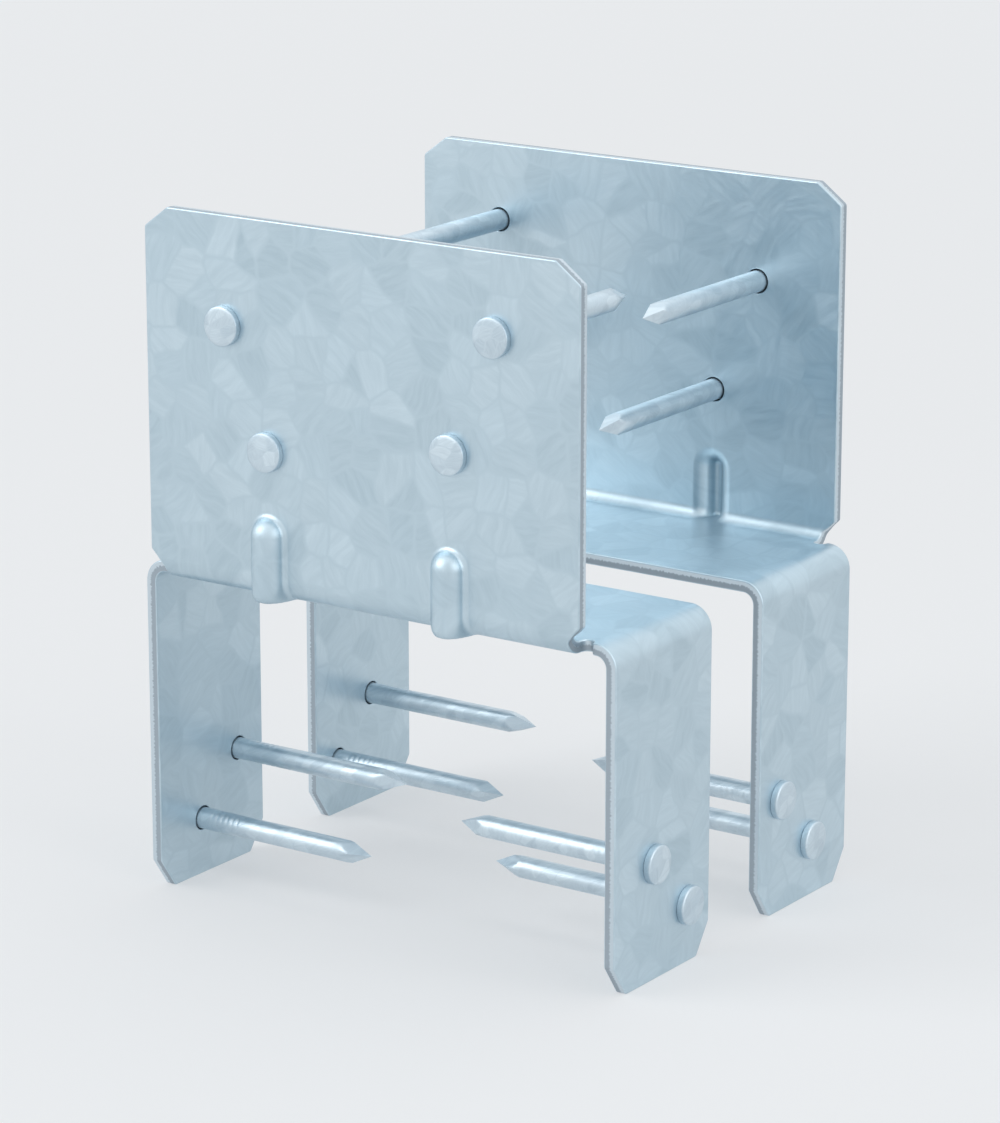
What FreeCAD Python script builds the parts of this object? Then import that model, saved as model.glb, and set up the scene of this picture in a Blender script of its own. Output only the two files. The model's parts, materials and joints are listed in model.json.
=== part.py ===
import FreeCAD, Part
import math
import os
import types

import Sketcher

# A column cap: two identical halves folded from sheet steel. Each half has an upright plate, a level
# seat behind the plate's foot, and two legs folded down from the ends of the seat.
# A half is drawn with its seat's underside at height zero and its plate towards -Y.

doc = FreeCAD.newDocument("column_cap")

# Driving dimensions, in millimetres
driving_sizes = {
    "post_width": 88.9,  # between the legs, 3 1/2 inches
    "post_clearance": 1.6,  # both sides together
    "beam_width": 76.2,  # between the plates, 3 inches
    "beam_clearance": 0.8,  # both sides together
    "sheet_thickness": 2.0,
    "bend_radius": 2.0,  # inside the bend
    "plate_width": 85.7,
    "plate_height": 63.5,  # from the seat's underside
    "plate_clip_width": 4.7,
    "plate_clip_height": 3.5,
    "relief_depth": 2.4,  # how far a bend relief reaches in from the plate's edge
    "relief_rise": 0.4,  # from the seat's top to where the plate's foot starts to widen
    "relief_radius": 1.1,
    "leg_width": 28.6,
    "leg_length": 57.2,  # from the seat's underside
    "leg_clip_width": 3.7,
    "leg_clip_height": 5.3,
    "bead_spacing": 36.0,
    "bead_height": 15.0,  # from the seat's underside to the top of the bead's root
    "bead_depth": 3.0,  # how far the bead stands out of the plate
    "bead_crown_radius": 3.0,
    "bead_root_radius": 1.0,
    "nail_hole_diameter": 4.2,
    "upper_nail_spacing": 53.2,
    "upper_nail_height": 47.6,  # mean of the pair, from the seat's underside
    "lower_nail_spacing": 36.4,
    "lower_nail_height": 27.6,  # mean of the pair, from the seat's underside
    "nail_stagger": 4.8,  # how much higher the right nail of a pair is
    "leg_nail_inset": 11.7,  # from the leg's edge beside the plate
    "leg_nail_offset": 10.2,  # from one nail of a leg to the other, across the leg
    "leg_nail_lift": 10.0,  # from the leg's tip to its lower nail
    "leg_nail_rise": 10.0,  # from the lower nail to the upper one
}

sheet = doc.addObject("Spreadsheet::Sheet", "Sizes")
for row, (alias, length) in enumerate(driving_sizes.items(), start=1):
    sheet.set(f"A{row}", alias.replace("_", " "))
    sheet.set(f"B{row}", str(length))
    sheet.setAlias(f"B{row}", alias)
doc.recompute()


class Size:
    """A length as its present value and as the expression that gives it from the sheet."""

    def __init__(self, value, text):
        self.value = value
        self.text = text

    def __add__(self, other):
        other = as_size(other)
        return Size(self.value + other.value, f"({self.text} + {other.text})")

    def __sub__(self, other):
        other = as_size(other)
        return Size(self.value - other.value, f"({self.text} - {other.text})")

    def __mul__(self, other):
        other = as_size(other)
        return Size(self.value * other.value, f"({self.text} * {other.text})")

    def __truediv__(self, other):
        other = as_size(other)
        return Size(self.value / other.value, f"({self.text} / {other.text})")

    def __neg__(self):
        return Size(-self.value, f"(-1 * {self.text})")


def as_size(length):
    return length if isinstance(length, Size) else Size(length, str(length))


def square_root(length):
    return Size(math.sqrt(length.value), f"sqrt({length.text})")


cells = {alias: Size(float(sheet.get(alias)), f"Sizes.{alias}") for alias in driving_sizes}
size = types.SimpleNamespace(**cells)
zero = Size(0.0, "0")

# Places that several features share
beam_face = (size.beam_width + size.beam_clearance) / 2
post_face = (size.post_width + size.post_clearance) / 2
outer_bend = size.bend_radius + size.sheet_thickness
plate_inside = -beam_face
plate_outside = plate_inside - size.sheet_thickness
plate_edge = size.plate_width / 2
leg_front = plate_outside + outer_bend
leg_rear = leg_front + size.leg_width
leg_outside = post_face + size.sheet_thickness
leg_tip = -size.leg_length
bend_edge = plate_edge - size.relief_depth

# A bead's section: a crown arc between two root arcs that run out into the plate. The two radii's
# centres lie on a slanted line, whose run along the plate is bead_reach and whose drop is bead_drop.
bead_span = size.bead_crown_radius + size.bead_root_radius
bead_drop = bead_span - size.bead_depth
bead_reach = square_root(bead_span * bead_span - bead_drop * bead_drop)
bead_straight = size.bead_height - bead_reach
bead_centre = plate_outside - size.bead_depth + size.bead_crown_radius


# Sketching
def plane_of(body, role):
    return next(plane for plane in body.Origin.OriginFeatures if plane.Role == role)


def new_sketch(body, name, role, across=zero, lift=zero):
    """A sketch on one of the body's planes, moved along its own X by across and along its normal by lift."""
    sketch = body.newObject("Sketcher::SketchObject", name)
    sketch.AttachmentSupport = [(plane_of(body, role), "")]
    sketch.MapMode = "FlatFace"
    for axis, distance in (("x", across), ("z", lift)):
        if distance is not zero:
            sketch.setExpression(f"AttachmentOffset.Base.{axis}", distance.text)
    return sketch


def bind(sketch, size_value, kind, *geometry):
    number = sketch.addConstraint(Sketcher.Constraint(kind, *geometry, size_value.value))
    sketch.setExpression(f"Constraints[{number}]", size_value.text)


def bind_point(sketch, edge, end, point):
    for kind, distance in zip(("DistanceX", "DistanceY"), point):
        bind(sketch, distance, kind, -1, 1, edge, end)


def arc_between(start, end, radius):
    """The arc from start to end: anticlockwise with a positive radius, clockwise with a negative one."""
    turn = math.copysign(1.0, radius)
    chord = end - start
    sideways = FreeCAD.Vector(-chord.y, chord.x, 0).normalize() * turn
    centre = (start + end) * 0.5 + sideways * math.sqrt(radius**2 - (chord.Length / 2) ** 2)
    first, last = (start, end) if turn > 0 else (end, start)
    angles = [math.atan2(point.y - centre.y, point.x - centre.x) for point in (first, last)]
    return Part.ArcOfCircle(Part.Circle(centre, FreeCAD.Vector(0, 0, 1), abs(radius)), *angles)


def draw_loop(sketch, *steps):
    """A closed loop. Each step is a corner, as (x, y), or (x, y, radius) where an arc leads on from it."""
    corners = [FreeCAD.Vector(step[0].value, step[1].value, 0) for step in steps]
    drawn = []
    for step, start, end in zip(steps, corners, corners[1:] + corners[:1]):
        radius = step[2] if len(step) > 2 else None
        shape = arc_between(start, end, radius.value) if radius else Part.LineSegment(start, end)
        edge = sketch.addGeometry(shape)
        clockwise = bool(radius) and radius.value < 0
        drawn.append((edge, 2 if clockwise else 1, 1 if clockwise else 2))
        if radius:
            bind(sketch, -radius if clockwise else radius, "Radius", edge)
    for step, (edge, start, _), (before, _, end) in zip(steps, drawn, drawn[-1:] + drawn[:-1]):
        sketch.addConstraint(Sketcher.Constraint("Coincident", before, end, edge, start))
        bind_point(sketch, edge, start, step)


def draw_circle(sketch, centre, diameter):
    place = FreeCAD.Vector(centre[0].value, centre[1].value, 0)
    edge = sketch.addGeometry(Part.Circle(place, FreeCAD.Vector(0, 0, 1), diameter.value / 2))
    bind(sketch, diameter, "Diameter", edge)
    bind_point(sketch, edge, 3, centre)


def draw_corner_cut(sketch, corner, width, height):
    """A triangle over a corner. Its long side takes width and height off the edges and runs on past them."""
    far_x = corner[0] + width
    far_y = corner[1] + height
    draw_loop(
        sketch,
        (far_x, far_y),
        (far_x, corner[1] - height * 2),
        (corner[0] - width * 2, far_y),
    )


# Features
def add_feature(body, kind, name, sketch, **settings):
    """A feature from a sketch. Sizes among the settings are bound, and the volume has to change rightly."""
    before = body.Tip.Shape.Volume if body.Tip else 0.0
    feature = body.newObject(f"PartDesign::{kind}", name)
    feature.Profile = sketch
    for setting, value in settings.items():
        if isinstance(value, Size):
            feature.setExpression(setting, value.text)
        else:
            setattr(feature, setting, value)
    body.Tip = feature
    doc.recompute()
    gained = feature.Shape.Volume - before
    removes = kind in ("Pocket", "Groove")
    if gained == 0 or (gained < 0) != removes:
        raise RuntimeError(f"{feature.Label} changed the volume by {gained:.3f} cubic millimetres")
    return feature


def fold_plate(body):
    profile = new_sketch(body, "plate_profile", "YZ_Plane")
    draw_loop(
        profile,
        (plate_outside, size.plate_height),
        (plate_outside, outer_bend, outer_bend),
        (leg_front, zero),
        (leg_front, size.sheet_thickness, -size.bend_radius),
        (plate_inside, outer_bend),
        (plate_inside, size.plate_height),
    )
    add_feature(body, "Pad", "plate", profile, Length=size.plate_width, Midplane=True)

    corners = new_sketch(body, "plate_corners", "XZ_Plane")
    for side in (-1, 1):
        corner = (plate_edge * side, size.plate_height)
        draw_corner_cut(corners, corner, size.plate_clip_width * side, size.plate_clip_height)
    add_feature(body, "Pocket", "plate_corner_clips", corners, Type="ThroughAll", Midplane=True)


def trim_plate_foot(body):
    """The plate's lower corners slant in at 45 degrees and round off into the ends of the bend."""
    # the round touches both of its lines tan(22.5 degrees) of its radius away from where they cross
    diagonal = square_root(as_size(2.0))
    tangent = size.relief_radius * (diagonal - 1)
    slant_start = size.sheet_thickness + size.relief_rise
    slant_foot = slant_start + tangent
    past_edge = size.relief_depth * 2
    trims = new_sketch(body, "plate_foot_trims", "XZ_Plane")
    for side in (-1, 1):
        draw_loop(
            trims,
            (bend_edge * side, -past_edge),
            (bend_edge * side, slant_start, size.relief_radius * -side),
            ((bend_edge + tangent / diagonal) * side, slant_foot + tangent / diagonal),
            ((bend_edge + past_edge) * side, slant_foot + past_edge),
            ((bend_edge + past_edge) * side, -past_edge),
        )
    add_feature(body, "Pocket", "plate_foot_trim", trims, Type="ThroughAll", Midplane=True)


def fold_seat_and_legs(body):
    bend_start = post_face - size.bend_radius
    profile = new_sketch(body, "saddle_profile", "XZ_Plane", lift=-leg_rear)
    draw_loop(
        profile,
        (post_face, leg_tip),
        (leg_outside, leg_tip),
        (leg_outside, -size.bend_radius, outer_bend),
        (bend_start, size.sheet_thickness),
        (-bend_start, size.sheet_thickness, outer_bend),
        (-leg_outside, -size.bend_radius),
        (-leg_outside, leg_tip),
        (-post_face, leg_tip),
        (-post_face, -size.bend_radius, -size.bend_radius),
        (-bend_start, zero),
        (bend_start, zero, -size.bend_radius),
        (post_face, -size.bend_radius),
    )
    add_feature(body, "Pad", "seat_and_legs", profile, Length=size.leg_width)

    corners = new_sketch(body, "leg_corners", "YZ_Plane")
    for edge, side in ((leg_front, -1), (leg_rear, 1)):
        draw_corner_cut(corners, (edge, leg_tip), size.leg_clip_width * side, -size.leg_clip_height)
    add_feature(body, "Pocket", "leg_corner_clips", corners, Type="ThroughAll", Midplane=True)


def cut_bend_reliefs(body):
    """Half-round bites in the seat's front edge, just outside the ends of the plate's bend."""
    reliefs = new_sketch(body, "seat_reliefs", "XY_Plane")
    for side in (-1, 1):
        draw_circle(reliefs, ((bend_edge + size.relief_radius) * side, leg_front), size.relief_radius * 2)
    add_feature(body, "Pocket", "bend_reliefs", reliefs, Length=size.sheet_thickness, Reversed=True)


def press_bead(body, name, across):
    """One bead, pressed outwards: its outside is added, and its inside is hollowed to an even wall."""
    wall = size.sheet_thickness
    crown = plate_outside - size.bead_depth

    def half_section(offset):
        """From the crown to the plate's face, where offset is how far this face lies inside the outer one."""
        crown_radius = size.bead_crown_radius - offset
        share = crown_radius / bead_span
        return (
            (zero, crown + offset, crown_radius),
            (bead_reach * share, bead_centre - bead_drop * share, -(size.bead_root_radius + offset)),
            (bead_reach, plate_outside + offset),
        )

    def draw_half(sketch, offset, back):
        draw_loop(sketch, *half_section(offset), (bead_reach, back), (zero, back))

    def draw_whole(sketch, offset, back):
        top, flank, foot = half_section(offset)
        draw_loop(
            sketch,
            (-foot[0], foot[1], flank[2]),
            (-flank[0], flank[1], top[2]),
            top,
            flank,
            foot,
            (bead_reach, back),
            (-bead_reach, back),
        )

    outer = new_sketch(body, f"{name}_section", "XY_Plane", across)
    draw_whole(outer, zero, leg_front)
    add_feature(body, "Pad", f"{name}_length", outer, Length=bead_straight)

    dome = new_sketch(body, f"{name}_end_section", "XY_Plane", across, bead_straight)
    draw_half(dome, zero, plate_outside + wall / 2)
    axis = (dome, ["V_Axis"])
    add_feature(body, "Revolution", f"{name}_end", dome, ReferenceAxis=axis, Angle=180.0, Reversed=True)

    hollow = new_sketch(body, f"{name}_hollow_section", "XY_Plane", across, bead_straight)
    draw_whole(hollow, wall, leg_front)
    add_feature(body, "Pocket", f"{name}_hollow", hollow, Length=bead_straight - wall)

    hollow_end = new_sketch(body, f"{name}_hollow_end_section", "XY_Plane", across, bead_straight)
    draw_half(hollow_end, wall, leg_front)
    axis = (hollow_end, ["V_Axis"])
    add_feature(
        body, "Groove", f"{name}_hollow_end", hollow_end, ReferenceAxis=axis, Angle=180.0, Reversed=True
    )


def punch_nail_holes(body):
    plate_holes = new_sketch(body, "plate_nail_holes", "XZ_Plane")
    rows = (
        (size.upper_nail_spacing, size.upper_nail_height),
        (size.lower_nail_spacing, size.lower_nail_height),
    )
    for spacing, height in rows:
        for side in (-1, 1):
            centre = (spacing / 2 * side, height + size.nail_stagger / 2 * side)
            draw_circle(plate_holes, centre, size.nail_hole_diameter)
    add_feature(body, "Pocket", "plate_nail_punch", plate_holes, Type="ThroughAll", Midplane=True)

    # the left leg's pair slants the other way, so that nails from both sides pass each other
    near = leg_front + size.leg_nail_inset
    far = near + size.leg_nail_offset
    low = leg_tip + size.leg_nail_lift
    high = low + size.leg_nail_rise
    for leg, upper, lower in (("right", near, far), ("left", far, near)):
        leg_holes = new_sketch(body, f"{leg}_leg_nail_holes", "YZ_Plane")
        draw_circle(leg_holes, (upper, high), size.nail_hole_diameter)
        draw_circle(leg_holes, (lower, low), size.nail_hole_diameter)
        towards_right = leg == "right"
        add_feature(
            body, "Pocket", f"{leg}_leg_nail_punch", leg_holes, Type="ThroughAll", Reversed=towards_right
        )


def cap_half(label, turn):
    body = doc.addObject("PartDesign::Body", label)
    body.Label = label
    fold_plate(body)
    trim_plate_foot(body)
    fold_seat_and_legs(body)
    cut_bend_reliefs(body)
    for name, side in (("left_bead", -1), ("right_bead", 1)):
        press_bead(body, name, size.bead_spacing / 2 * side)
    punch_nail_holes(body)
    body.Placement = FreeCAD.Placement(FreeCAD.Vector(), FreeCAD.Rotation(FreeCAD.Vector(0, 0, 1), turn))
    body.setExpression("Placement.Base.z", size.leg_length.text)
    return body


halves = [cap_half("front_cap_half", 0), cap_half("rear_cap_half", 180)]
doc.recompute()

# Nothing is written unless every object is sound
for item in doc.Objects:
    if {"Invalid", "Error"} & set(item.State):
        raise RuntimeError(f"{item.Label} is {item.State}")
for body in halves:
    if body.Shape.isNull() or not body.Shape.isValid():
        raise RuntimeError(f"{body.Label} has no valid shape")

os.makedirs("parts", exist_ok=True)
for body in halves:
    body.Shape.exportStep(f"parts/{body.Label}.step")
    box = body.Shape.BoundBox
    spans = f"{box.XLength:.2f} x {box.YLength:.2f} x {box.ZLength:.2f} mm"
    print(body.Label, f"{body.Shape.Volume:.1f} mm3", spans)
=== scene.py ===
import json
import math

import bpy
import numpy as np
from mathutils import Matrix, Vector
from mathutils.geometry import delaunay_2d_cdt


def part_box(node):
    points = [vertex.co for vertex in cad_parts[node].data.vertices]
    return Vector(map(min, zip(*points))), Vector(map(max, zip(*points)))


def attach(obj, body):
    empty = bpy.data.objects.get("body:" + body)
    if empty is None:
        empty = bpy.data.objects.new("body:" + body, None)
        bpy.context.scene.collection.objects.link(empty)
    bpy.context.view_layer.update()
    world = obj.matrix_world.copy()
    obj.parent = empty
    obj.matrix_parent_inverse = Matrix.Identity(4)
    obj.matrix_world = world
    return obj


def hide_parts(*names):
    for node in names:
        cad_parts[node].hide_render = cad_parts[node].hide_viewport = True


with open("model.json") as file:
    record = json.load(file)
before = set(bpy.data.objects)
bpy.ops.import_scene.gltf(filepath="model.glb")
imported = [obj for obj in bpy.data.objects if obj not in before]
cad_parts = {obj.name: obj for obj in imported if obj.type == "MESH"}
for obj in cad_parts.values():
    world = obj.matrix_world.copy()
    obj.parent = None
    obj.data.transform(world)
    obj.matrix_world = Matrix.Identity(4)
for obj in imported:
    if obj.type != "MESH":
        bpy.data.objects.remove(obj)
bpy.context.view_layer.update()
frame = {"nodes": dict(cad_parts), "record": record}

mm = 0.001
mountAt = {mount["name"]: mount for mount in frame["record"]["mounts"]}
print("frame loaded:", sorted(frame["nodes"]))


# Mesh help

sharpAngle = math.radians(38)  # faces of a bare mesh that meet more steeply have a sharp edge


def addObject(name, data):
    added = bpy.data.objects.new(name, data)
    bpy.context.scene.collection.objects.link(added)
    return added


def meshFromArrays(name, points, faceSets, cornerUv, normals):
    # faceSets are index arrays of triangles or quads, cornerUv their corners' places on the flat blank
    corners = np.concatenate([faces.ravel() for faces in faceSets])
    sizes = np.concatenate([np.full(len(faces), faces.shape[1]) for faces in faceSets])
    mesh = bpy.data.meshes.new(name)
    mesh.vertices.add(len(points))
    mesh.vertices.foreach_set("co", points.ravel())
    mesh.loops.add(len(corners))
    mesh.loops.foreach_set("vertex_index", corners)
    mesh.polygons.add(len(sizes))
    mesh.polygons.foreach_set("loop_start", np.cumsum(sizes) - sizes)
    mesh.polygons.foreach_set("use_smooth", np.ones(len(sizes), bool))
    mesh.update(calc_edges=True)
    uvMap = mesh.uv_layers.new(name="blank")
    uvMap.uv.foreach_set("vector", np.concatenate([uv.reshape(-1, 2) for uv in cornerUv]).ravel())
    mesh.normals_split_custom_set_from_vertices(normals)
    print(name, len(mesh.vertices), "points,", len(mesh.polygons), "faces")
    return addObject(name, mesh)


def bareMesh(name, points, faceSets):
    # a mesh with no map, smooth apart from its steep edges
    mesh = bpy.data.meshes.new(name)
    mesh.from_pydata(points.tolist(), [], [face for faces in faceSets for face in faces.tolist()])
    mesh.polygons.foreach_set("use_smooth", np.ones(len(mesh.polygons), bool))
    mesh.set_sharp_from_angle(angle=sharpAngle)
    print(name, len(mesh.vertices), "points,", len(mesh.polygons), "faces")
    return addObject(name, mesh)


def closedRows(rows, around):
    # point numbers of a grid whose rows close on themselves, and the number of each point's next in its row
    index = np.arange(rows * around).reshape(rows, around)
    return index, np.roll(index, -1, 1)


def paintPoints(piece, name, values):
    # a number on each point, which a material reads by its name
    layer = piece.data.attributes.new(name, "FLOAT", "POINT")
    layer.data.foreach_set("value", values.astype(np.float32))


def unit(vectors):
    return vectors / np.linalg.norm(vectors, axis=-1, keepdims=True)


# Where the nails go, read from the nail holes that the frame states

nailRows = {"rowGap": 20.0 * mm}  # from a plate's lower nail of one side up to its upper one


def nailPlaces(kind):
    # a plate's mount holds a slanted pair of holes, a leg's mount a level pair across both legs of a side
    chosen = [mount for name, mount in mountAt.items() if f"_{kind}_nails_" in name]
    centre = np.array([mount["pos_m"] for mount in chosen])
    inward = -np.array([mount["axis"] for mount in chosen], float)
    step = np.zeros_like(centre)
    if kind == "beam":
        half = np.array([mount["dims"]["pcd_mm"] for mount in chosen]) * mm / 2
        step[:, 2] = nailRows["rowGap"] / 2
        step[:, 0] = np.sign(centre[:, 0]) * np.sqrt(half**2 - step[:, 2] ** 2)
    else:
        step[:, 1] = np.array([mount["dims"]["spacing_x_mm"] for mount in chosen]) * mm / 2
    return np.concatenate([centre - step, centre + step]), np.concatenate([inward, inward])


beamNailAt, beamNailInward = nailPlaces("beam")
postNailAt, postNailInward = nailPlaces("post")
print("nail places:", len(beamNailAt), "in the plates,", len(postNailAt), "in the legs")


# The folded sheet. It is worked out on the flat blank, at (u, v): on the seat these are x and y, the plate
# lies past the front bend line in -v, and each leg lies past a side bend line in u.

seatLow = mountAt["front_post_bearing"]["pos_m"][2]
seatTop = mountAt["front_beam_seat"]["pos_m"][2]
halfLow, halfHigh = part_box("front_cap_half")

capSheet = {
    "thickness": seatTop - seatLow,
    "bendRadius": 2.0 * mm,  # inside the bend
    "neutralShare": 0.44,  # depth of the layer that keeps its length in a bend, from the inside
    "plateHalf": 42.85 * mm,  # half the plate's width
    "plateClipWidth": 4.7 * mm,
    "plateClipHeight": 3.5 * mm,
    "legClipWidth": 3.7 * mm,
    "legClipHeight": 5.3 * mm,
    "reliefDepth": 2.4 * mm,
    "reliefRadius": 1.1 * mm,
    "reliefStart": 3.3 * mm,  # along the blank, from the bend line to where the plate's foot widens
    "cornerRadius": 0.7 * mm,
    "lipRadius": 0.35 * mm,  # where a relief meets the leg's front edge
    "edgeRound": 0.25 * mm,  # the sheared edge's roll-over
    "edgeZinc": 0.225 * mm,  # how far zinc is drawn over that edge from either face
    "holeRadius": mountAt["front_beam_nails_left"]["dims"]["hole_r_mm"] * mm,
    "outlineStep": 0.45 * mm,
    "outlineClear": 0.27 * mm,  # points inside an outline keep this far from its own
    "arcPoints": 4,  # at least, on each corner of the outline
    "arcFineness": 2,  # points on a corner lie this many times closer than along a straight
    "holePoints": 40,
    "gridStep": 3.0 * mm,
    "bendSteps": 16,
    "edgeSteps": 4,
    "mapSpan": 100.0 * mm,  # length of blank that one unit of the UV map spans
    "topShift": (5, 0),  # on that map, so that the two faces and the edges have grains of their own
    "edgeShift": (10, 10),
    "rearShift": (31.0, 17.0),  # and the rear half has other grains than the front one
}
bead = {
    "across": 18.0 * mm,  # from the plate's middle to either bead's
    "height": 15.0 * mm,  # from the seat's underside to the top of the bead's root
    "depth": 3.0 * mm,  # how far the bead stands out of the plate
    "crownRadius": 3.0 * mm,
    "rootRadius": 1.0 * mm,
    "footRadius": 1.3 * mm,  # outside, where the bead meets the seat
    "clear": 0.3 * mm,  # the flats' points keep this far from a bead's own, to its sides
    "footClear": 0.1 * mm,  # and behind the bend line
    "rowStep": 0.6 * mm,
    "arcSteps": 8,
    "domeSteps": 20,
}

thickness = capSheet["thickness"]
bendRadius = capSheet["bendRadius"]
outerBend = bendRadius + thickness
bendLength = (bendRadius + capSheet["neutralShare"] * thickness) * math.pi / 2
frontLine = halfLow.y + bead["depth"] + outerBend
sideLine = halfHigh.x - outerBend
bendTop = seatTop + bendRadius  # height at which the plate is flat
legBendFoot = seatLow - bendRadius
plateReach = bendLength + halfHigh.z - bendTop
legReach = sideLine + bendLength + legBendFoot - halfLow.z

beadSpan = bead["crownRadius"] + bead["rootRadius"]
beadReach = math.sqrt(beadSpan**2 - (beadSpan - bead["depth"]) ** 2)
beadEnd = bendLength + seatLow + bead["height"] - beadReach - bendTop  # blank distance to the dome's centre


def fromBead(u, v):
    # distance on the blank to the nearer bead's middle line, which ends at its dome's centre
    return np.hypot(np.abs(u) - bead["across"], np.maximum(frontLine - v - beadEnd, 0))


def beadLift(u, v, inside):
    # the plate's face is lifted by a crown circle between two root circles, all three in touch; the inner
    # face has the same centres, with radii that leave an even wall
    away = fromBead(u, v)
    crown = bead["crownRadius"] - inside * thickness
    root = bead["rootRadius"] + inside * thickness
    centre = bead["depth"] - bead["crownRadius"] + inside * thickness
    onCrown = centre + np.sqrt(np.maximum(crown**2 - away**2, 0))
    onRoot = root - np.sqrt(np.maximum(root**2 - (beadReach - away) ** 2, 0))
    lift = np.where(away < beadReach * crown / beadSpan, onCrown, onRoot)
    return np.where((away < beadReach) & (v < frontLine), lift, 0)


def foldSheet(u, v, w, lift):
    # w is the height in the sheet above its underside. Past the front line the sheet runs straight, round a
    # corner and up; a plain bend is all corner, and at a bead the corner is smaller and further out.
    # Past a side line the sheet turns down about an axis below the seat.
    ahead = np.maximum(frontLine - v, 0)
    bend = outerBend - w
    foot = bead["footRadius"] * bend / outerBend
    corner = bend + (foot - bend) * lift / bead["depth"]
    forward = bend + lift - corner
    run = np.minimum(ahead / bendLength, 1) * (forward + corner * math.pi / 2 + bend - corner)
    angle = np.clip((run - forward) / corner, 0, math.pi / 2)
    y = np.where(ahead > 0, frontLine - np.minimum(run, forward) - corner * np.sin(angle), v)
    up = corner * (1 - np.cos(angle)) + np.maximum(run - forward - corner * math.pi / 2, 0)
    aside = np.maximum(np.abs(u) - sideLine, 0)
    turn = np.minimum(aside / bendLength, 1) * math.pi / 2
    legBend = bendRadius + w
    x = np.where(aside > 0, np.sign(u) * (sideLine + legBend * np.sin(turn)), u)
    down = legBend * (1 - np.cos(turn)) + np.maximum(aside - bendLength, 0)
    z = seatLow + w + up + np.maximum(ahead - bendLength, 0) - down
    return np.stack([x, y, z], -1)


def sheetFrame(u, v, w, inside=None):
    # the place of a point of the sheet, and the directions in which u, v and w grow there, from the places
    # of its close neighbours; inside is 0 on the underside, 1 on the top and None where no bead reaches
    def placed(du, dv):
        lift = 0.0 if inside is None else beadLift(u + du, v + dv, inside)
        return foldSheet(u + du, v + dv, w, lift)

    near = 0.5e-6  # metres
    alongU = unit(placed(near, 0) - placed(-near, 0))
    alongV = unit(placed(0, near) - placed(0, -near))
    return placed(0, 0), alongU, alongV, unit(np.cross(alongU, alongV))


def roundedOutline(corners, radii, step):
    # a closed outline with each corner replaced by a tangent arc, then points at even steps along it
    corners = np.array(corners)
    toBefore = unit(np.roll(corners, 1, 0) - corners)
    toAfter = unit(np.roll(corners, -1, 0) - corners)
    cross = toBefore[:, 0] * toAfter[:, 1] - toBefore[:, 1] * toAfter[:, 0]
    half = np.arccos(np.clip((toBefore * toAfter).sum(1), -1, 1)) / 2
    middle = unit(toBefore + toAfter)
    sweeps = -np.sign(cross) * (math.pi - 2 * half)
    arcs = []
    for corner, radius, way, halfAngle, out, sweep in zip(corners, radii, toBefore, half, middle, sweeps):
        centre = corner + out * radius / math.sin(halfAngle)
        first = corner + way * radius / math.tan(halfAngle) - centre
        fine = math.ceil(abs(sweep) * radius / step * capSheet["arcFineness"])
        turns = np.linspace(0, sweep, max(capSheet["arcPoints"], fine))
        cosine, sine = np.cos(turns), np.sin(turns)
        arc = np.stack([first[0] * cosine - first[1] * sine, first[0] * sine + first[1] * cosine], 1)
        arcs.append(centre + arc)
    points = np.concatenate(arcs)
    onward = np.roll(points, -1, 0) - points
    counts = np.maximum(1, np.round(np.linalg.norm(onward, axis=1) / step)).astype(int)
    owner = np.repeat(np.arange(len(points)), counts)
    share = (np.arange(len(owner)) - np.repeat(np.cumsum(counts) - counts, counts)) / counts[owner]
    return points[owner] + onward[owner] * share[:, None]


def blankOutline():
    # one side of the blank from the plate's top to the leg, then its mirror image
    plateHalf = capSheet["plateHalf"]
    clipWidth, clipHeight = capSheet["plateClipWidth"], capSheet["plateClipHeight"]
    legClipWidth, legClipHeight = capSheet["legClipWidth"], capSheet["legClipHeight"]
    depth, bite, start = capSheet["reliefDepth"], capSheet["reliefRadius"], capSheet["reliefStart"]
    plain, lip = capSheet["cornerRadius"], capSheet["lipRadius"]
    bendEdge = plateHalf - depth
    biteEnd = frontLine + bite + lip
    touchingBite, touchingLip = bite * 0.999, lip * 0.99  # arcs that follow each other share no point
    legRear = halfHigh.y
    plateTop = frontLine - plateReach
    side = [
        (plateHalf - clipWidth, plateTop, plain),
        (plateHalf, plateTop + clipHeight, plain),
        (plateHalf, frontLine - start - depth, plain),
        (bendEdge, frontLine - start, bite),
        (bendEdge, biteEnd, touchingBite),
        (bendEdge + 2 * bite, biteEnd, touchingBite),
        (bendEdge + 2 * bite, frontLine, touchingLip),
        (legReach - legClipHeight, frontLine, plain),
        (legReach, frontLine + legClipWidth, plain),
        (legReach, legRear - legClipWidth, plain),
        (legReach - legClipHeight, legRear, plain),
    ]
    corners = [(u, v) for u, v, radius in side] + [(-u, v) for u, v, radius in side[::-1]]
    radii = [radius for u, v, radius in side] + [radius for u, v, radius in side[::-1]]
    return roundedOutline(corners, radii, capSheet["outlineStep"])


def holeOutlines():
    # the front half's nail holes, as circles on the blank
    plate = beamNailAt[beamNailAt[:, 1] < 0]
    legs = postNailAt[postNailAt[:, 1] < 0]
    onPlate = np.stack([plate[:, 0], frontLine - bendLength - (plate[:, 2] - bendTop)], 1)
    legRun = sideLine + bendLength + legBendFoot - legs[:, 2]
    onLegs = np.stack([np.sign(legs[:, 0]) * legRun, legs[:, 1]], 1)
    clockwise = np.linspace(0, -2 * math.pi, capSheet["holePoints"], endpoint=False)  # metal on the left
    circle = capSheet["holeRadius"] * np.stack([np.cos(clockwise), np.sin(clockwise)], 1)
    return [centre + circle for centre in np.concatenate([onPlate, onLegs])]


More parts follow.
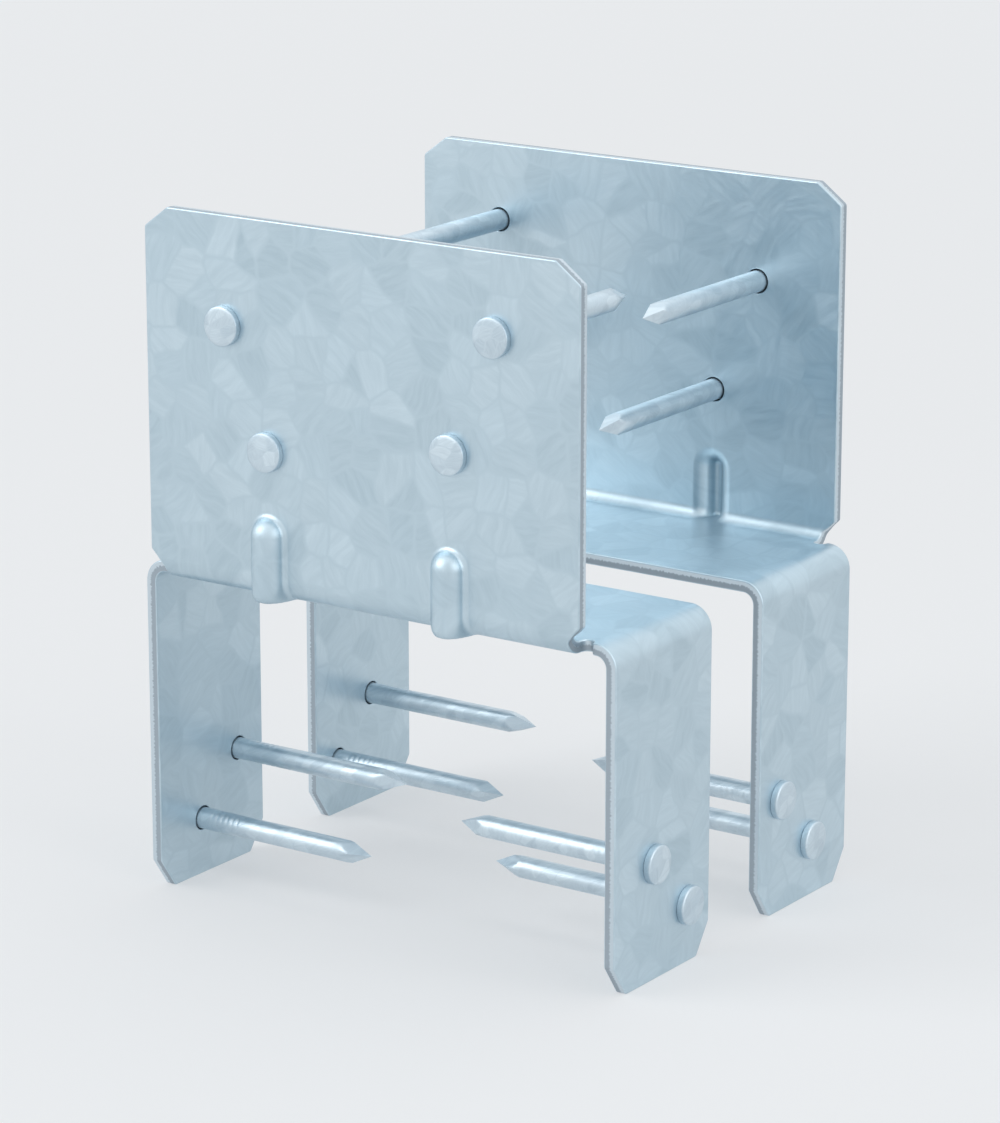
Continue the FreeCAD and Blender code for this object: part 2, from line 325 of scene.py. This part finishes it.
def insideLoops(points, loops):
    # a point is in the metal if a line from it crosses the loops an odd number of times
    starts = np.concatenate(loops)
    ends = np.concatenate([np.roll(loop, -1, 0) for loop in loops])
    u, v = points[:, :1], points[:, 1:]
    straddles = (starts[:, 1] > v) != (ends[:, 1] > v)
    rise = ends[:, 1] - starts[:, 1]
    slope = (ends[:, 0] - starts[:, 0]) / np.where(rise == 0, 1, rise)
    return (straddles & (u < starts[:, 0] + (v - starts[:, 1]) * slope)).sum(1) % 2 == 1


def distanceTo(points, loop):
    # from each point to the nearest point of a loop
    return np.sqrt(((points[:, None] - loop[None]) ** 2).sum(-1).min(1))


def gridOf(us, vs):
    return np.stack(np.meshgrid(us, vs), -1).reshape(-1, 2)


def flatPoints(bendRows):
    # a coarse grid for the flats and close rows across the bends, away from the beads
    step = capSheet["gridStep"]
    close, margin = step / 2, step / 4  # along a bend, and around it
    edge = capSheet["plateHalf"]
    columns = np.arange(-legReach, legReach, step)
    flats = gridOf(columns, np.arange(frontLine - plateReach, halfHigh.y, step))
    inBend = (flats[:, 1] < frontLine + margin) & (flats[:, 1] > frontLine - bendLength - margin)
    inLegBend = np.abs(np.abs(flats[:, 0]) - sideLine - bendLength / 2) < bendLength / 2 + margin
    frontBend = gridOf(np.arange(-edge, edge, close), frontLine - bendRows)
    legRows = np.concatenate([sideLine + bendRows, -sideLine - bendRows])
    legBend = gridOf(legRows, np.arange(frontLine, halfHigh.y, close))
    points = np.concatenate([flats[~inBend & ~inLegBend], frontBend, legBend])
    beside = fromBead(points[:, 0], points[:, 1]) < beadReach + bead["clear"]
    return points[~(beside & (points[:, 1] < frontLine + bead["footClear"]))]


def beadPoints(bendRows):
    # rows along each bead, at even angles of its crown and root arcs on both faces, and rays round its dome
    turns = np.linspace(0, math.acos(1 - bead["depth"] / beadSpan), bead["arcSteps"])
    away = [[0.0]]
    for wall in (0.0, thickness):
        away.append((bead["crownRadius"] - wall) * np.sin(turns))
        away.append(beadReach - (bead["rootRadius"] + wall) * np.sin(turns))
    away = np.unique(np.round(np.concatenate(away), 4))  # rows nearer than 0.1 mm become one
    rows = np.concatenate([bendRows, np.arange(bendLength, beadEnd, bead["rowStep"])[1:], [beadEnd]])
    straight = gridOf(np.concatenate([-away, away[1:]]), -rows)
    around = np.linspace(0, math.pi, bead["domeSteps"] + 1)[1:-1]
    ring, ray = np.meshgrid(away[1:], around)
    dome = np.stack([ring * np.cos(ray), -beadEnd - ring * np.sin(ray)], -1).reshape(-1, 2)
    one = np.concatenate([straight, dome]) + (0, frontLine)
    return np.concatenate([one + (bead["across"], 0), one - (bead["across"], 0)])


def cutBlank(insets):
    # the blank's points, first those of its outlines and then those inside, and the triangles between them
    bendRows = np.linspace(0, bendLength, capSheet["bendSteps"] + 1)
    inner = np.concatenate([flatPoints(bendRows), beadPoints(bendRows)])
    inner = inner[insideLoops(inner, insets)]
    gap = np.min([distanceTo(inner, loop) for loop in insets], axis=0)
    flat = np.concatenate(insets + [inner[gap > capSheet["outlineClear"]]])

    firsts = np.cumsum([0] + [len(loop) for loop in insets])
    rings = [np.arange(first, end) for first, end in zip(firsts[:-1], firsts[1:])]
    edges = np.concatenate([np.stack([ring, np.roll(ring, -1)], 1) for ring in rings])
    places = (flat / mm).tolist()
    insideOnly, sameWithin = 1, 1e-5  # kind of triangulation, and mm within which two points are one
    _, _, faces, sources, _, _ = delaunay_2d_cdt(places, edges.tolist(), [], insideOnly, sameWithin)
    triangles = np.array([source[0] for source in sources])[np.array(faces)]
    return flat, rings, triangles[insideLoops(flat[triangles].mean(1), insets)]


def rimProfile():
    # a quarter round, a straight run and a quarter round, from the underside to the top: how far it stands
    # out and up, as shares of the roll-over, and how high it is in the sheet
    roll = capSheet["edgeRound"]
    turns = np.linspace(0, math.pi / 2, capSheet["edgeSteps"] + 1)
    out = np.concatenate([np.sin(turns), np.cos(turns)])
    up = np.concatenate([-np.cos(turns), np.sin(turns)])
    height = np.concatenate([roll * (1 - np.cos(turns)), thickness - roll * (1 - np.sin(turns))])
    return out, up, height


def rimAlong(loop, outward, lowEnds, highEnds, firstNew):
    # the rim profile carried along one outline, between that outline's points on the two faces
    out, up, height = rimProfile()
    place = loop[:, None] + outward[:, None] * (out * capSheet["edgeRound"])[None, :, None]
    level = np.broadcast_to(height, place.shape[:2])
    spot, alongU, alongV, alongW = sheetFrame(place[..., 0], place[..., 1], level)
    facing = outward[:, None, :1] * alongU + outward[:, None, 1:] * alongV
    facing = unit(facing * out[None, :, None] + alongW * up[None, :, None])

    grid = np.empty(level.shape, int)
    grid[:, 0], grid[:, -1] = lowEnds, highEnds
    newPoints = grid[:, 1:-1].size
    grid[:, 1:-1] = firstNew + np.arange(newPoints).reshape(len(loop), -1)
    after = np.roll(grid, -1, 0)
    quads = np.stack([grid[:, :-1], after[:, :-1], after[:, 1:], grid[:, 1:]], -1).reshape(-1, 4)

    stretches = np.linalg.norm(np.diff(loop, axis=0, append=loop[:1]), axis=1)
    run = np.concatenate([[0], np.cumsum(stretches)])
    uv = np.stack(np.meshgrid(run, height, indexing="ij"), -1) / capSheet["mapSpan"] + capSheet["edgeShift"]
    quadUv = np.stack([uv[:-1, :-1], uv[1:, :-1], uv[1:, 1:], uv[:-1, 1:]], 2)
    return spot[:, 1:-1].reshape(-1, 3), facing[:, 1:-1].reshape(-1, 3), quads, quadUv


def workedShare(u, v):
    # how hard the sheet was worked, on its underside and then its top: full on a bend or a bead's crown,
    # none on the flats
    pastLines = (frontLine - v, np.abs(u) - sideLine)
    bends = [np.sin(np.clip(past / bendLength, 0, 1) * math.pi) for past in pastLines]
    crowns = [beadLift(u, v, inside) / bead["depth"] for inside in (0, 1)]
    return np.concatenate([np.maximum.reduce([*bends, crown]) for crown in crowns])


def foldHalf(name, turned, uvShift):
    # both faces share one triangulation of the blank, and a rounded rim joins them along every outline
    outlines = [blankOutline()] + holeOutlines()
    along = [unit(np.roll(loop, -1, 0) - np.roll(loop, 1, 0)) for loop in outlines]
    outward = [np.stack([way[:, 1], -way[:, 0]], 1) for way in along]
    insets = [loop - out * capSheet["edgeRound"] for loop, out in zip(outlines, outward)]
    flat, rings, triangles = cutBlank(insets)
    count = len(flat)
    u, v = flat[:, 0], flat[:, 1]
    low, _, _, lowUp = sheetFrame(u, v, 0.0, inside=0)
    high, _, _, highUp = sheetFrame(u, v, thickness, inside=1)
    lowUv = flat / capSheet["mapSpan"] + uvShift
    highUv = lowUv + capSheet["topShift"]
    points, normals = [low, high], [-lowUp, highUp]
    faceSets = [triangles[:, ::-1], triangles + count]
    cornerUv = [lowUv[triangles[:, ::-1]], highUv[triangles]]
    total = 2 * count
    for ring, loop, out in zip(rings, insets, outward):
        spot, facing, quads, quadUv = rimAlong(loop, out, ring, ring + count, total)
        points.append(spot)
        normals.append(facing)
        faceSets.append(quads)
        cornerUv.append(quadUv)
        total += len(spot)
    spin = np.array([-1, -1, 1]) if turned else np.ones(3)
    points, normals = np.concatenate(points) * spin, np.concatenate(normals) * spin
    piece = meshFromArrays(name, points, faceSets, cornerUv, normals)

    # how hard the sheet was worked, where its rim is bare of zinc, and how high on the rim each point is
    height = rimProfile()[2][1:-1]
    bare = (height > capSheet["edgeZinc"]) & (height < thickness - capSheet["edgeZinc"])
    onFaces = np.zeros(2 * count)
    rimLength = sum(len(ring) for ring in rings)
    paintPoints(piece, "worked", np.concatenate([workedShare(u, v), np.zeros(total - 2 * count)]))
    paintPoints(piece, "cutEdge", np.concatenate([onFaces, np.tile(bare, rimLength)]))
    paintPoints(piece, "shear", np.concatenate([onFaces, np.tile(height / thickness, rimLength)]))
    return piece


frontSheet = foldHalf("front_sheet", turned=False, uvShift=(0.0, 0.0))
rearSheet = foldHalf("rear_sheet", turned=True, uvShift=capSheet["rearShift"])


# Nails, seated in their holes with their heads against the sheet

nail = {
    "headRadius": 3.35 * mm,
    "headHeight": 1.25 * mm,
    "headDome": 0.15 * mm,
    "headRound": 0.28 * mm,
    "headInner": 0.15,  # the smallest ring of the head's top, as a share of the largest
    "headRings": 7,
    "roundSteps": 4,
    "shankRadius": 1.88 * mm,
    "shankRings": 6,
    "length": 38.0 * mm,  # from under the head to the point
    "pointLength": 5.5 * mm,
    "pointRings": 13,
    "gripFrom": 4.5 * mm,  # marks of the dies that held the wire, on two sides of the shank
    "gripPitch": 1.1 * mm,
    "gripMarks": 6,
    "gripDepth": 0.08 * mm,
    "gripSharpness": 4,
    "gripSteps": 10,
    "around": 32,
    "spin": 2.4,  # radians from one nail to the next, so that each is turned its own way
}


def nailProfile():
    # radius, depth under the head and share of the die marks, from the middle of the head to the point
    head, high, dome = nail["headRadius"], nail["headHeight"], nail["headDome"]
    soft, shank = nail["headRound"], nail["shankRadius"]
    top = np.linspace(nail["headInner"], 1, nail["headRings"]) * (head - soft)
    topDepth = -high - dome * (1 - (top / head) ** 2)
    turns = np.linspace(0, math.pi / 2, nail["roundSteps"] + 1)[1:]
    edge = head - soft + soft * np.sin(turns)
    edgeDepth = -high + soft * (1 - np.cos(turns))
    under = head - soft / 2 * (1 - np.cos(turns))
    underDepth = -soft / 2 * (1 - np.sin(turns))
    fillet = shank + soft * (1 - np.sin(turns))
    filletDepth = soft * (1 - np.cos(turns))
    marks = np.linspace(0, nail["gripMarks"], nail["gripMarks"] * nail["gripSteps"] + 1)
    grip = nail["gripFrom"] + nail["gripPitch"] * marks
    plain = np.linspace(grip[-1], nail["length"] - nail["pointLength"], nail["shankRings"] + 2)[1:-1]
    tail = nail["length"] - nail["pointLength"] * np.linspace(1, 0, nail["pointRings"] + 1)[:-1]
    straight = np.concatenate([grip, plain, tail])
    radius = np.concatenate([top, edge, under, fillet, np.full(len(straight), shank)])
    depth = np.concatenate([topDepth, edgeDepth, underDepth, filletDepth, straight])
    pressed = np.sin(marks * math.pi) ** nail["gripSharpness"]
    return radius, depth, np.interp(depth, grip, pressed, left=0, right=0)


def driveNails(name, places, inward):
    # the profile is turned about each nail's line; the die marks fade out round the shank, and near the
    # point four flats cut it to a diamond
    radius, depth, marked = nailProfile()
    rows, around, count = len(radius), nail["around"], len(places)
    angle = np.arange(around) / around * 2 * math.pi
    square = np.maximum(np.abs(np.cos(angle)), np.abs(np.sin(angle)))
    taper = (nail["length"] - depth) / nail["pointLength"] * nail["shankRadius"]
    ring = np.minimum(radius[:, None], np.where(depth > 0, taper, 1)[:, None] / square)
    ring = ring - nail["gripDepth"] * np.outer(marked, np.maximum(np.cos(2 * angle), 0))
    cosine, sine = ring * np.cos(angle), ring * np.sin(angle)

    upright = np.tile([0.0, 0.0, 1.0], (count, 1))
    across = np.cross(inward, upright)
    spin = np.arange(count) * nail["spin"]
    first = across * np.cos(spin)[:, None] + upright * np.sin(spin)[:, None]
    second = np.cross(inward, first)
    body = places[:, None, None] + inward[:, None, None] * depth[None, :, None, None]
    body = body + first[:, None, None] * cosine[None, :, :, None]
    body = body + second[:, None, None] * sine[None, :, :, None]
    crown = places - inward * (nail["headHeight"] + nail["headDome"])
    tip = places + inward * nail["length"]
    points = np.concatenate([body.reshape(count, -1, 3), crown[:, None], tip[:, None]], 1)

    index, after = closedRows(rows, around)
    quads = np.stack([index[:-1], after[:-1], after[1:], index[1:]], -1).reshape(-1, 4)
    crownFan = np.stack([np.full(around, rows * around), after[0], index[0]], -1)
    tipFan = np.stack([np.full(around, rows * around + 1), index[-1], after[-1]], -1)
    shift = (np.arange(count) * (rows * around + 2))[:, None, None]
    faceSets = [(part + shift).reshape(-1, part.shape[1]) for part in (quads, crownFan, tipFan)]
    return bareMesh(name, points.reshape(-1, 3), faceSets)


beamNails = driveNails("beam_nails", beamNailAt, beamNailInward)
postNails = driveNails("post_nails", postNailAt, postNailInward)


# Node help

def nodeIn(tree, kind, feeds=None, **settings):
    # feeds gives inputs by name or number: another node's output is linked, anything else is set
    node = tree.nodes.new(kind)
    for name, value in settings.items():
        setattr(node, name, value)
    for name, source in (feeds or {}).items():
        if isinstance(source, bpy.types.NodeSocket):
            tree.links.new(source, node.inputs[name])
        else:
            node.inputs[name].default_value = source
    return node


def numberFrom(tree, operation, *values):
    node = nodeIn(tree, "ShaderNodeMath", dict(enumerate(values)), operation=operation)
    return node.outputs["Value"]


def vectorFrom(tree, operation, *values):
    node = nodeIn(tree, "ShaderNodeVectorMath", dict(enumerate(values)), operation=operation)
    return node.outputs["Vector"]


def ranged(tree, source, low, high, start=0.0, end=1.0):
    # start to end of the source become low to high
    feeds = {"Value": source, "From Min": start, "From Max": end, "To Min": low, "To Max": high}
    return nodeIn(tree, "ShaderNodeMapRange", feeds).outputs["Result"]


def blended(tree, kind, share, first, second):
    feeds = {"Factor": share, "A": first, "B": second}
    return nodeIn(tree, "ShaderNodeMix", feeds, data_type=kind).outputs["Result"]


def noiseOn(tree, place, scale, **more):
    # a flat noise; more gives its detail and roughness
    feeds = {"Vector": place, "Scale": scale}
    feeds.update({name.capitalize(): value for name, value in more.items()})
    return nodeIn(tree, "ShaderNodeTexNoise", feeds, noise_dimensions="2D").outputs


def newMaterial(name):
    material = bpy.data.materials.new(name)
    material.use_nodes = True
    return material, material.node_tree, material.node_tree.nodes["Principled BSDF"]


# Finishes

zincGrain = {
    "warpDetail": 4,
    "sway": 0.35,  # how far the warp bends the cells, as a share of a grain
    "rimWidth": 0.09,  # of a grain
    "rimTone": 0.45,  # grain boundaries are neither light nor dark
    "streak": (6.0, 0.8, 6.0),  # long along one way, fine across
    "streakDetail": 5,
    "streakRoughness": 0.6,
    "featherFrom": 0.3,  # this part of the streaks' range is spread from dark to light
    "featherTo": 0.7,
    "featherTone": 0.38,  # share of the streaks in a grain's tone
    "featherGloss": 0.4,  # and in its gloss
}


def zincCoatGroup():
    # zinc grains on a flat pattern: warped cells, each with its own brightness and its own streak direction
    tree = bpy.data.node_groups.new("zincCoat", "ShaderNodeTree")
    for name, kind, way in (
        ("Place", "NodeSocketVector", "INPUT"),
        ("Grain Scale", "NodeSocketFloat", "INPUT"),
        ("Light", "NodeSocketColor", "INPUT"),
        ("Dark", "NodeSocketColor", "INPUT"),
        ("Color", "NodeSocketColor", "OUTPUT"),
        ("Gloss", "NodeSocketFloat", "OUTPUT"),
        ("Height", "NodeSocketFloat", "OUTPUT"),
    ):
        tree.interface.new_socket(name, in_out=way, socket_type=kind)
    given = tree.nodes.new("NodeGroupInput").outputs
    made = tree.nodes.new("NodeGroupOutput").inputs
    place, scale = given["Place"], given["Grain Scale"]

    warp = noiseOn(tree, place, scale, detail=zincGrain["warpDetail"])
    sway = numberFrom(tree, "DIVIDE", zincGrain["sway"], scale)
    bent = vectorFrom(tree, "MULTIPLY_ADD", warp["Color"], sway, place)
    cell = {"Vector": bent, "Scale": scale}
    cells = nodeIn(tree, "ShaderNodeTexVoronoi", cell, voronoi_dimensions="2D", feature="F1")
    chance = nodeIn(tree, "ShaderNodeSeparateColor", {"Color": cells.outputs["Color"]}).outputs
    rims = nodeIn(tree, "ShaderNodeTexVoronoi", cell, voronoi_dimensions="2D", feature="DISTANCE_TO_EDGE")
    rim = ranged(tree, rims.outputs["Distance"], 0.0, 1.0, 0.0, zincGrain["rimWidth"])

    angle = numberFrom(tree, "MULTIPLY", chance["Red"], 2 * math.pi)
    turning = {"Vector": bent, "Angle": angle}
    turned = nodeIn(tree, "ShaderNodeVectorRotate", turning, rotation_type="Z_AXIS").outputs["Vector"]
    drawn = vectorFrom(tree, "MULTIPLY", turned, zincGrain["streak"])
    streaks = noiseOn(
        tree, drawn, scale, detail=zincGrain["streakDetail"], roughness=zincGrain["streakRoughness"]
    )
    feather = ranged(tree, streaks["Fac"], 0.0, 1.0, zincGrain["featherFrom"], zincGrain["featherTo"])

    bright = blended(tree, "FLOAT", zincGrain["featherTone"], chance["Green"], feather)
    edged = blended(tree, "FLOAT", rim, zincGrain["rimTone"], bright)
    gloss = blended(tree, "FLOAT", zincGrain["featherGloss"], chance["Blue"], feather)
    tree.links.new(blended(tree, "RGBA", edged, given["Dark"], given["Light"]), made["Color"])
    tree.links.new(gloss, made["Gloss"])
    tree.links.new(edged, made["Height"])
    return tree


zincCoat = zincCoatGroup()


def coatOf(tree, place, finish):
    # the zinc coat with a finish's own grains and tones
    feeds = {
        "Place": place,
        "Grain Scale": finish["grainScale"],
        "Light": finish["light"],
        "Dark": finish["dark"],
    }
    return nodeIn(tree, "ShaderNodeGroup", feeds, node_tree=zincCoat).outputs


galvanised = {
    "light": (0.62, 0.74, 0.81, 1),
    "dark": (0.475, 0.595, 0.665, 1),
    "grainScale": 17.0,  # grains per 100 mm of blank
    "roughLow": 0.30,
    "roughHigh": 0.46,
    "workedRough": 0.10,  # added where the sheet was bent or pressed
    "grainRelief": 0.012 * mm,
    "waveRelief": 0.25 * mm,
    "waveScale": 22,  # per metre
    "waveDetail": 1,
    "torn": (0.40, 0.46, 0.51, 1),  # a sheared edge's rough part
    "tornRough": 0.62,
    "tornShare": 0.55,
    "burnished": (0.61, 0.70, 0.76, 1),  # and its smooth part
    "burnishedRough": 0.34,
    "ragged": 0.35,  # how far the border between the two wanders, as a share of the thickness
    "raggedSoft": 0.06,
    "shearLines": (260, 14, 1),  # scale along and across the edge, per 100 mm
    "shearDetail": 3,
}


def galvanisedSheet():
    # zinc grains over both faces, with a bare sheared edge between them
    material, tree, shader = newMaterial("galvanisedSheet")
    link = tree.links.new
    shader.inputs["Metallic"].default_value = 1.0
    place = nodeIn(tree, "ShaderNodeUVMap", uv_map="blank").outputs["UV"]
    coat = coatOf(tree, place, galvanised)
    cut, shear, worked = (
        nodeIn(tree, "ShaderNodeAttribute", attribute_name=name).outputs["Fac"]
        for name in ("cutEdge", "shear", "worked")
    )

    # a sheared edge is smooth where the blade cut it and torn below that, with lines across the sheet
    across = vectorFrom(tree, "MULTIPLY", place, galvanised["shearLines"])
    lines = noiseOn(tree, across, 1.0, detail=galvanised["shearDetail"])
    ragged = numberFrom(tree, "MULTIPLY_ADD", lines["Fac"], galvanised["ragged"], shear)
    split, soft = galvanised["tornShare"] + galvanised["ragged"] / 2, galvanised["raggedSoft"]
    smooth = ranged(tree, ragged, 0.0, 1.0, split - soft, split + soft)
    edge = blended(tree, "RGBA", smooth, galvanised["torn"], galvanised["burnished"])
    link(blended(tree, "RGBA", cut, coat["Color"], edge), shader.inputs["Base Color"])

    rough = ranged(tree, coat["Gloss"], galvanised["roughLow"], galvanised["roughHigh"])
    duller = numberFrom(tree, "MULTIPLY_ADD", worked, galvanised["workedRough"], rough)
    edgeRough = ranged(tree, smooth, galvanised["tornRough"], galvanised["burnishedRough"])
    link(blended(tree, "FLOAT", cut, duller, edgeRough), shader.inputs["Roughness"])

    # broad waves of the sheet, with the grains' fine relief on them
    where = nodeIn(tree, "ShaderNodeTexCoord").outputs["Object"]
    wave = {"Vector": where, "Scale": galvanised["waveScale"], "Detail": galvanised["waveDetail"]}
    broad = {
        "Height": nodeIn(tree, "ShaderNodeTexNoise", wave).outputs["Fac"],
        "Distance": galvanised["waveRelief"],
    }
    fine = {
        "Height": coat["Height"],
        "Distance": galvanised["grainRelief"],
        "Normal": nodeIn(tree, "ShaderNodeBump", broad).outputs["Normal"],
    }
    link(nodeIn(tree, "ShaderNodeBump", fine).outputs["Normal"], shader.inputs["Normal"])
    return material


nailZinc = {
    "light": (0.70, 0.80, 0.86, 1),
    "dark": (0.52, 0.62, 0.69, 1),
    "grainScale": 9.0,
    "patternScale": (60, 60, 60),  # per metre
    "patternTurn": (1.07, -0.72, 0.0),  # so that no head lies edge-on to the flat pattern
    "roughLow": 0.34,
    "roughHigh": 0.54,
    "relief": 0.035 * mm,
}


def galvanisedNail():
    # the same coat in smaller grains, on a flat pattern that runs slantwise through all the nails
    material, tree, shader = newMaterial("galvanisedNail")
    link = tree.links.new
    shader.inputs["Metallic"].default_value = 1.0
    spread = {
        "Vector": nodeIn(tree, "ShaderNodeTexCoord").outputs["Object"],
        "Scale": nailZinc["patternScale"],
        "Rotation": nailZinc["patternTurn"],
    }
    place = nodeIn(tree, "ShaderNodeMapping", spread).outputs["Vector"]
    coat = coatOf(tree, place, nailZinc)
    rough = ranged(tree, coat["Gloss"], nailZinc["roughLow"], nailZinc["roughHigh"])
    grains = {"Height": coat["Height"], "Distance": nailZinc["relief"]}
    link(coat["Color"], shader.inputs["Base Color"])
    link(rough, shader.inputs["Roughness"])
    link(nodeIn(tree, "ShaderNodeBump", grains).outputs["Normal"], shader.inputs["Normal"])
    return material


sheetFinish = galvanisedSheet()
nailFinish = galvanisedNail()
for piece, node in ((frontSheet, "front_cap_half"), (rearSheet, "rear_cap_half")):
    piece.data.materials.append(sheetFinish)
    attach(piece, "root")
    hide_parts(node)
for piece in (beamNails, postNails):
    piece.data.materials.append(nailFinish)
    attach(piece, "root")
print("finishes set")


# Floor, light and camera

studio = {
    "floorRadius": 4.0,
    "floorRings": 24,
    "floorAround": 96,
    "floorColour": (0.82, 0.83, 0.84, 1),
    "floorRough": 0.9,
    "floorShine": 0.1,
    "floorGlow": 0.45,  # how far the floor goes towards the sky's colour, directly and in reflections
    "glowFrom": 0.35,  # from here outwards it goes further, and from glowTo on it is all sky
    "glowTo": 2.6,
    "skyColour": (0.92, 0.94, 0.96, 1),
    "skyLight": 0.60,
}


def seenDirectly(tree):
    # 1 for rays from the camera and for what shows in reflections or through glass
    path = nodeIn(tree, "ShaderNodeLightPath").outputs
    seen = path["Is Camera Ray"]
    for name in ("Is Glossy Ray", "Is Transmission Ray"):
        seen = numberFrom(tree, "MAXIMUM", seen, path[name])
    return seen


def chooseShader(tree, share, first, second, output):
    choice = nodeIn(tree, "ShaderNodeMixShader", {0: share, 1: first, 2: second})
    tree.links.new(choice.outputs["Shader"], tree.nodes[output].inputs["Surface"])


def floorFinish():
    # a dull floor that takes shadows, and turns into the sky further out
    material, tree, shader = newMaterial("paleFloor")
    shader.inputs["Base Color"].default_value = studio["floorColour"]
    shader.inputs["Roughness"].default_value = studio["floorRough"]
    shader.inputs["Specular IOR Level"].default_value = studio["floorShine"]
    sky = nodeIn(tree, "ShaderNodeEmission", {"Color": studio["skyColour"]}).outputs["Emission"]
    where = nodeIn(tree, "ShaderNodeTexCoord").outputs["Object"]
    reach = nodeIn(tree, "ShaderNodeVectorMath", {0: where}, operation="LENGTH").outputs["Value"]
    glow = ranged(tree, reach, studio["floorGlow"], 1.0, studio["glowFrom"], studio["glowTo"])
    share = numberFrom(tree, "MULTIPLY", seenDirectly(tree), glow)
    chooseShader(tree, share, shader.outputs["BSDF"], sky, "Material Output")
    return material


def layFloor():
    # a disc of rings, r growing as the square of the ring's number
    rings, around = studio["floorRings"], studio["floorAround"]
    radius = studio["floorRadius"] * (np.arange(1, rings + 1) / rings) ** 2
    angle = np.arange(around) / around * 2 * math.pi
    spots = np.stack([np.outer(radius, np.cos(angle)), np.outer(radius, np.sin(angle))], -1).reshape(-1, 2)
    points = np.concatenate([np.pad(spots, ((0, 0), (0, 1))), np.zeros((1, 3))])
    index, after = closedRows(rings, around)
    quads = np.stack([index[:-1], index[1:], after[1:], after[:-1]], -1).reshape(-1, 4)
    fan = np.stack([np.full(around, rings * around), index[0], after[0]], -1)
    floor = bareMesh("floor", points, [quads, fan])
    floor.data.materials.append(floorFinish())


def lightSky():
    # a plain sky for what the camera and the metal see, a dimmer one for the light it gives
    world = bpy.data.worlds.new("studioSky")
    world.use_nodes = True
    tree = world.node_tree
    shown = tree.nodes["Background"]
    shown.inputs["Color"].default_value = studio["skyColour"]
    dimmer = {"Color": studio["skyColour"], "Strength": studio["skyLight"]}
    giving = nodeIn(tree, "ShaderNodeBackground", dimmer).outputs["Background"]
    chooseShader(tree, seenDirectly(tree), giving, shown.outputs["Background"], "World Output")
    bpy.context.scene.world = world


softboxes = {
    "key": {"at": (-0.95, -1.05, 1.05), "size": 1.1, "watts": 8.5},
    "top": {"at": (0.15, 0.25, 1.5), "size": 2.0, "watts": 5.0},
    "side": {"at": (1.35, -0.15, 0.75), "size": 1.2, "watts": 4.3},
}


def hangSoftboxes(target):
    # square lamps that all face the target
    for name, box in softboxes.items():
        lamp = bpy.data.lights.new(name, "AREA")
        lamp.size = box["size"]
        lamp.energy = box["watts"]
        holder = addObject(name, lamp)
        holder.location = box["at"]
        holder.rotation_euler = (target - holder.location).to_track_quat("-Z", "Y").to_euler()


viewpoint = {
    "azimuth": 34.5,  # degrees, towards +X from straight ahead
    "elevation": 15.5,
    "distance": 0.75,
    "nearest": 0.05,  # nothing closer than this is drawn
    "lens": 142.0,
    "target": (0.0, 0.0, 0.0575),
}


def setCamera(target):
    turn, lift = math.radians(viewpoint["azimuth"]), math.radians(viewpoint["elevation"])
    way = Vector((math.sin(turn) * math.cos(lift), -math.cos(turn) * math.cos(lift), math.sin(lift)))
    optics = bpy.data.cameras.new("view")
    optics.lens = viewpoint["lens"]
    optics.clip_start = viewpoint["nearest"]
    camera = addObject("view", optics)
    camera.location = target + way * viewpoint["distance"]
    camera.rotation_euler = (-way).to_track_quat("-Z", "Y").to_euler()
    bpy.context.scene.camera = camera


layFloor()
lightSky()
hangSoftboxes(Vector(viewpoint["target"]))
setCamera(Vector(viewpoint["target"]))
bpy.context.scene.view_settings.view_transform = "Standard"
print("studio set")

bpy.context.view_layer.update()
